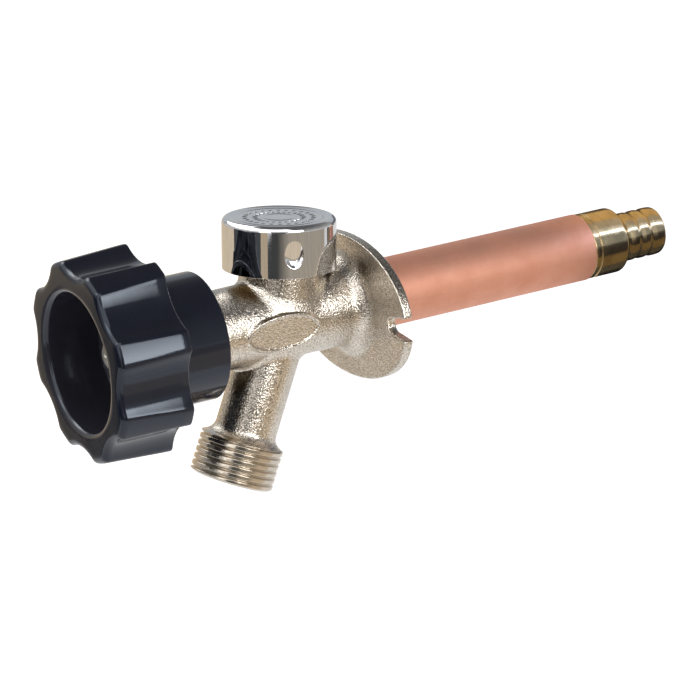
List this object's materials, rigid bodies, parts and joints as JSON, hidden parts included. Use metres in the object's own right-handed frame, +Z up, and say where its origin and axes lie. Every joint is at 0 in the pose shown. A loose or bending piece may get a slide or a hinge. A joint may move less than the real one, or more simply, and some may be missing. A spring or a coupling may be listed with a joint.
{
  "type": "frost free sillcock",
  "caption": "Wall hydrant with a lobed black handle, nickel plated cast body, chrome vacuum breaker cap, hose threaded spout, oval wall flange and copper tube with a crimp barb inlet.",
  "frame": {"origin": "where the tube axis meets the wall face of the flange", "axes": "+Z up, +Y into the wall along the tube, +X to the right seen from the handle; the vacuum breaker leans 5 degrees towards the wall, so it stands upright when the tube is laid with the usual fall to the front"},
  "size_m": [0.073, 0.2163, 0.0884],
  "materials": {
    "nickel_casting": "nickel plated sand casting, fine grain, semi bright",
    "copper": "drawn copper, satin",
    "brass": "machined, semi bright",
    "black_plastic": "glossy moulded",
    "chrome": "mirror plated",
    "steel": "zinc plated",
    "rubber": "matte",
    "graphite": "pressed graphite",
    "acetal": "moulded"
  },
  "bodies": {
    "housing": {"valve_body": "nickel_casting", "supply_tube": "copper", "inlet_fitting": "brass", "packing_nut": "brass", "packing_gland": "brass", "packing_ring": "graphite", "packing_washer": "brass", "stem_o_ring": "rubber", "vacuum_breaker_bonnet": "brass", "bonnet_o_ring": "rubber", "vacuum_breaker_cap": "chrome"},
    "valve_disc": {"washer_holder": "brass", "seat_washer": "rubber", "seat_washer_screw": "brass"},
    "handle_stem": {"handle_knob": "black_plastic", "handle_screw": "steel", "handle_screw_washer": "steel", "operating_stem": "brass", "operating_rod": "brass", "rod_pin": "steel"},
    "poppet": {"vacuum_breaker_poppet": "acetal", "poppet_seal": "rubber"}
  },
  "joints": [
    {"name": "disc_travel", "type": "slide", "parent": "housing", "child": "valve_disc", "axis": [0, -1, 0], "range_m": [0, 0.0064]},
    {"name": "handle_turn", "type": "hinge", "parent": "valve_disc", "child": "handle_stem", "pos_m": [0, 0, 0], "axis": [0, -1, 0], "range_deg": [0, 720]},
    {"name": "poppet_rise", "type": "slide", "parent": "housing", "child": "poppet", "axis": [0, 0.0872, 0.9962], "range_m": [0, 0.0028]}
  ],
  "couplings": [
    {"joint": "disc_travel", "follows": "handle_turn", "m_per_rad": 0.00050532}
  ]
}
